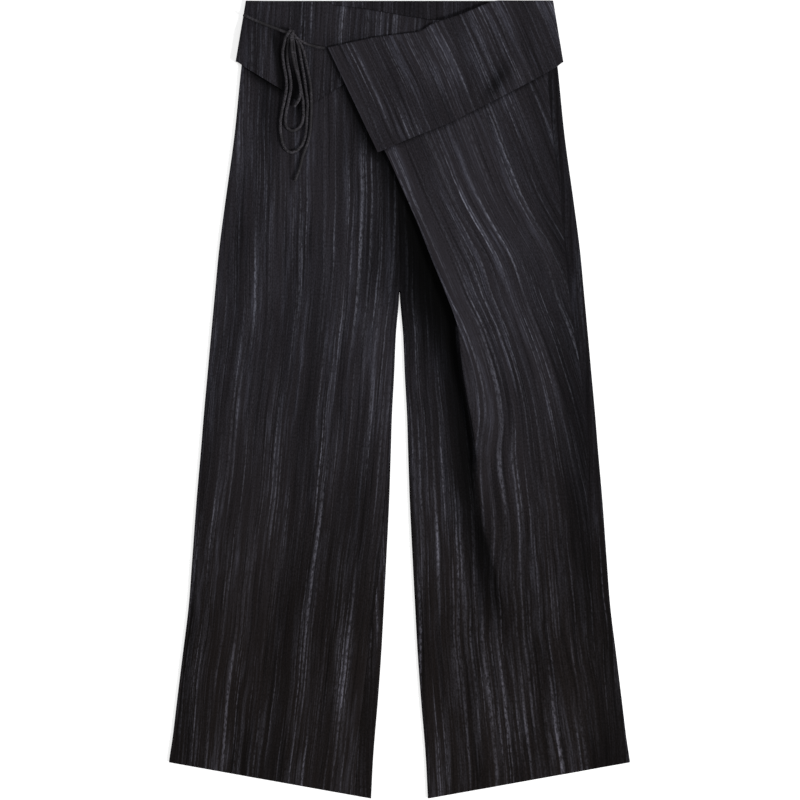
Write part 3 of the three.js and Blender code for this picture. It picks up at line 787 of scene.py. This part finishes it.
def flapPlace(shape):
    leftRim, rightRim = sideRadius * shape["rimLeft"], sideRadius * shape["rimRight"]
    left, right = shape["left"], shape["right"]

    # A side without a rim takes no columns of its own, since they would have no width
    def across(u, end):
        stops = [0, rimColumns * shape["rimLeft"], 1 - rimColumns * shape["rimRight"], 1]
        return np.interp(u, stops, [left[end], left[end] + leftRim, right[end] - rightRim, right[end]])

    def place(u, v):
        topX, lowX = across(u, 0), across(u, 1)
        roll = np.minimum(v / rollShare, 1) * foldRadius
        share = np.maximum((v - rollShare) / (1 - rollShare), 0)
        start = lineAt(shape["fold"], topX) + cloth["solidWall"] / 2
        end = lineAt(shape["hem"], lowX)
        done = roll / (end - start)
        along = done + (1 - done) * share
        x, depth = mix(topX, lowX, along), mix(start, end, along)
        edges = 0 * x
        if leftRim:
            edges = roundOver(x - mix(left[0], left[1], along), sideRadius)
        if rightRim:
            edges = np.maximum(edges, roundOver(mix(right[0], right[1], along) - x, sideRadius))
        level = shape["level"](x, depth)
        past = roll + share * pastFold
        folded = roundOver(past, foldRadius) * (shape["foldLevel"](x, depth) - level)
        edged = edges * (shape["sideLevel"] - level)
        return x, depth, level + np.where(np.abs(folded) > np.abs(edged), folded, edged)

    return place


cuffAt = 3.9
foldEdge = {"left": (-211.4, -225.4), "right": (211.4, 225.4)}  # The flaps' sides at the fold and at the hem
flatFold = {"x": [-212, 212], "depth": [0, 0]}
backHem = {"x": [-226, -216, 216, 226], "depth": [83, 88, 88, 83]}
# Swells in the wrap's flap: x, depth, height and half width
swells = [(103, 128, 4.4, 22), (154, 98, 3.4, 24), (20, 92, 1.8, 40), (70, 60, 1.4, 34), (176, 40, 1.6, 30)]


def underFlapTop(x, depth):
    raised = (1 - smooth(0, 8, x - cliffX(depth) + 6)) * smooth(16, 50, depth)
    return underFlapLevel + raised * (cornerLevel - underFlapLevel)


def wrapFlapTop(x, depth):
    rise = 0
    for atX, atDepth, top, wide in swells:
        rise = rise + top * np.exp(-((x - atX) / wide) ** 2 - ((depth - atDepth) / wide) ** 2)
    return highLevel(x, depth) + cloth["step"] + rise


backShape = {
    "fold": flatFold, "hem": backHem, "left": foldEdge["left"], "right": foldEdge["right"],
    "rimLeft": True, "rimRight": True, "level": lambda x, depth: onFloor + 0 * x,
    "foldLevel": lambda x, depth: onFloor + cloth["step"], "sideLevel": cuffAt - 0.5,
    "cut": {"flat": (0.45, 0.09), "held": "folded", "area": 0.0386},
}
underShape = {
    "fold": underFold, "hem": underHem, "left": foldEdge["left"], "right": (76, 70),
    "rimLeft": True, "rimRight": False, "level": underFlapTop,
    "foldLevel": lambda x, depth: frontAtHip, "sideLevel": cuffAt + 0.5,
    "cut": {"flat": (0.3, 0.15), "held": "folded", "area": 0.0257},
}
wrapShape = {
    "fold": wrapFold, "hem": wrapHem, "left": (-98.7, -30), "right": foldEdge["right"],
    "rimLeft": False, "rimRight": True, "level": wrapFlapTop,
    "foldLevel": highLevel, "sideLevel": cuffAt + 0.5,
    "cut": {"flat": (0.33, 0.21), "held": "folded", "area": 0.0392},
}

flapBack = clothGrid("flapBack", 110, 26, flapPlace(backShape), grainBack, stripShade, flip=True)
finishSheet(flapBack, streakedCloth, ["flap_back"])
underFlap = clothGrid("flapFrontRight", 120, 60, flapPlace(underShape), grainUnderFlap, underFlapShade)
finishSheet(underFlap, streakedCloth, ["flap_front_right"])
wrapFlap = clothGrid("flapWrap", 140, 80, flapPlace(wrapShape), grainWrapFlap, wrapFlapShade)
finishSheet(wrapFlap, streakedCloth, ["flap_wrap"])
print("flaps ready")


# Tie cord: a thin tube of the same cloth, tied in a bow; x, depth and height of each point

cordDiameter = 4.0
cordRoutes = {
    "side": [(-214.5, 20.5, 9.2), (-201, 27.5, 11.2), (-191, 31.6, 11.4), (-180, 36, 11.2), (-169, 40, 10.8),
             (-160, 43.6, 11), (-152, 46.5, 11)],
    "wrap": [(-147, 50, 11), (-136.5, 56, 10.2), (-128, 60.4, 9), (-116, 64, 8.6), (-103, 66.4, 8.4)],
    "loopLower": [(-151.5, 46, 12.4), (-155.4, 49.5, 11.2), (-158, 58, 9), (-160.5, 70, 8.5),
                  (-159.5, 88, 8.5), (-156.5, 104, 8.5), (-155.5, 120, 8.6), (-158, 136, 8.3),
                  (-162, 154, 7.1), (-164, 170, 6.8), (-163, 186, 6.8), (-160, 199, 6.8),
                  (-153, 208.5, 6.6), (-146, 209, 6.6), (-138, 204, 6.6), (-131.5, 193, 6.6),
                  (-128.5, 178, 6.8), (-127.5, 160, 8), (-126.5, 142, 8.8), (-128.5, 126, 8.6),
                  (-131, 108, 8.5), (-134.5, 88, 8.5), (-137.5, 70, 8.5), (-140.6, 58, 9),
                  (-144, 50, 11.6), (-147, 46.5, 12.6)],
    "loopUpper": [(-149, 46.5, 13), (-151.6, 52, 11), (-153, 59, 9), (-154, 70, 8.5),
                  (-153.5, 88, 8.5), (-150.5, 104, 8.5), (-149.5, 120, 8.6), (-152, 136, 8.6),
                  (-155.5, 152, 7.2), (-157, 166, 6.8), (-155, 175, 6.6), (-149, 179.5, 6.6),
                  (-141, 177.5, 6.6), (-135, 171, 6.6), (-132.5, 162, 7.6), (-132.3, 150, 8.6),
                  (-133, 138, 8.7), (-135.5, 124, 8.5), (-138.5, 106, 8.5), (-142, 88, 8.5),
                  (-144.5, 72, 8.5), (-145.8, 59, 9.4), (-147.5, 49, 12.4)],
    "endLong": [(-145, 48.5, 12.6), (-139.5, 55, 10.8), (-134.8, 63.5, 9), (-131.5, 72, 8.5),
                (-128, 88, 8.5), (-124.5, 104, 8.5), (-122, 124, 8.5), (-121.5, 146, 8.6),
                (-122, 164, 7.2), (-123, 180, 6.6), (-127, 198, 6.6), (-133, 214, 6.6),
                (-137.5, 232, 6.6), (-144, 249, 6.6)],
    "endShort": [(-148.8, 47.5, 14), (-148.5, 60.5, 13.2), (-147.5, 72, 13.2), (-144, 90, 13.2),
                 (-139, 108, 13.2), (-136, 124, 12.8), (-137.5, 136, 12.4), (-145, 147, 9)],
}
# Turns of cord that make the knot: place, half width and half height, and the angle seen from above
knotTurns = [
    {"x": -152.4, "depth": 46.6, "wide": 4.6, "high": 2.6, "turn": 0.95},
    {"x": -147.2, "depth": 48.6, "wide": 4.8, "high": 2.9, "turn": 1.35},
]
knotLevel = 11.6


cordColours = ((0.0068, 0.0059, 0.0073, 1), (0.0290, 0.0264, 0.0320, 1))


def makeCordMaterial():
    material = bpy.data.materials.new("cordCloth")
    material.use_nodes = True
    tree = material.node_tree
    shader = tree.nodes["Principled BSDF"]
    place = addNode(tree, "ShaderNodeTexCoord").outputs["Object"]
    specks = addNode(tree, "ShaderNodeTexNoise", Vector=place, Scale=420.0, Detail=3.0).outputs[0]
    runs = addNode(tree, "ShaderNodeTexNoise", Vector=place, Scale=55.0, Detail=2.0).outputs[0]
    share = maths(tree, "MULTIPLY", remap(tree, specks, 0.38, 0.64),
                  remap(tree, runs, 0.36, 0.62, 0.15, 1.25))
    tree.links.new(blend(tree, share, *cordColours), shader.inputs["Base Color"])
    shader.inputs["Roughness"].default_value = 0.8
    shader.inputs["Specular IOR Level"].default_value = 0.25
    bump = addNode(tree, "ShaderNodeBump", Height=specks, Strength=0.3, Distance=0.0005)
    tree.links.new(bump.outputs[0], shader.inputs["Normal"])
    return material


cordCloth = makeCordMaterial()


def scenePoint(x, depth, z):
    return (x * metre, (halfLength - depth) * metre, z * metre)


def makeCord(name, node):
    route = [scenePoint(*point) for point in cordRoutes[name]]
    data = bpy.data.curves.new("cord" + name[0].upper() + name[1:], "CURVE")
    data.dimensions = "3D"
    data.bevel_depth = cordDiameter / 2 * metre
    data.bevel_resolution = 4
    data.resolution_u = 6
    data.use_fill_caps = True
    line = data.splines.new("BEZIER")
    line.bezier_points.add(len(route) - 1)
    for point, place in zip(line.bezier_points, route):
        point.co = place
        point.handle_left_type = point.handle_right_type = "AUTO"
    data.materials.append(cordCloth)
    item = bpy.data.objects.new(data.name, data)
    bpy.context.scene.collection.objects.link(item)
    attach(item, "root")
    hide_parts(node)


makeCord("side", "tie_side")
makeCord("wrap", "tie_wrap")
makeCord("loopLower", "tie_loop_lower")
makeCord("loopUpper", "tie_loop_upper")
makeCord("endLong", "tie_end_long")
makeCord("endShort", "tie_end_short")


def makeKnot():
    rings = []
    for ring in knotTurns:
        bpy.ops.object.select_all(action="DESELECT")
        bpy.ops.mesh.primitive_torus_add(major_segments=40, minor_segments=16, major_radius=1,
                                         minor_radius=0.5)
        item = bpy.context.active_object
        points = np.empty(len(item.data.vertices) * 3)
        item.data.vertices.foreach_get("co", points)
        across, up, along = points.reshape(-1, 3).T
        around = np.arctan2(up, across)
        thick = np.hypot(across, up) - 1
        across = np.cos(around) * (ring["wide"] + thick * cordDiameter)
        up = np.sin(around) * (ring["high"] + thick * cordDiameter)
        along = along * cordDiameter
        cosine, sine = math.cos(ring["turn"]), math.sin(ring["turn"])
        x = across * cosine + along * sine + ring["x"]
        y = across * sine - along * cosine + halfLength - ring["depth"]
        item.data.vertices.foreach_set("co", (np.stack([x, y, up + knotLevel], axis=1) * metre).ravel())
        item.data.update()
        rings.append(item)
    for item in rings:
        item.select_set(True)
    bpy.context.view_layer.objects.active = rings[0]
    bpy.ops.object.join()
    knot = bpy.context.active_object
    knot.name = knot.data.name = "knot"
    knot.data.materials.clear()
    knot.data.materials.append(cordCloth)
    bpy.ops.object.shade_smooth()
    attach(knot, "root")
    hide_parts("tie_knot")


makeKnot()
print("tie ready")


# Floor and light

def makeFloor():
    bpy.ops.object.select_all(action="DESELECT")
    bpy.ops.mesh.primitive_plane_add(size=6, location=(0, 0, 0))
    floor = bpy.context.active_object
    floor.name = "floor"
    for vertex in floor.data.vertices:
        vertex.co.z = -0.2 * metre
    material = bpy.data.materials.new("whiteFloor")
    material.use_nodes = True
    shader = material.node_tree.nodes["Principled BSDF"]
    shader.inputs["Base Color"].default_value = (0.5, 0.5, 0.5, 1)
    shader.inputs["Roughness"].default_value = 0.9
    shader.inputs["Emission Color"].default_value = (1.0, 1.0, 1.0, 1)
    shader.inputs["Emission Strength"].default_value = 0.6
    floor.data.materials.append(material)


def makeLight(name, place, size, power):
    data = bpy.data.lights.new(name, "AREA")
    data.shape = "SQUARE"
    data.size = size
    data.energy = power
    light = bpy.data.objects.new(name, data)
    light.location = place
    toward = -np.array(place) / np.linalg.norm(place)
    light.rotation_euler = (math.acos(-toward[2]), 0, math.atan2(toward[1], toward[0]) - math.pi / 2)
    bpy.context.scene.collection.objects.link(light)


makeFloor()
makeLight("keyLight", (4.0, -1.6, 3.2), 1.3, 370)
makeLight("fillLight", (-2.6, 3.2, 4.4), 2.4, 60)
world = bpy.data.worlds.new("paleRoom")
world.use_nodes = True
world.node_tree.nodes["Background"].inputs[0].default_value = (1.0, 1.0, 1.0, 1)
world.node_tree.nodes["Background"].inputs[1].default_value = 0.5
bpy.context.scene.world = world
bpy.context.scene.view_settings.view_transform = "Standard"
print("floor and light ready")


bpy.context.view_layer.update()
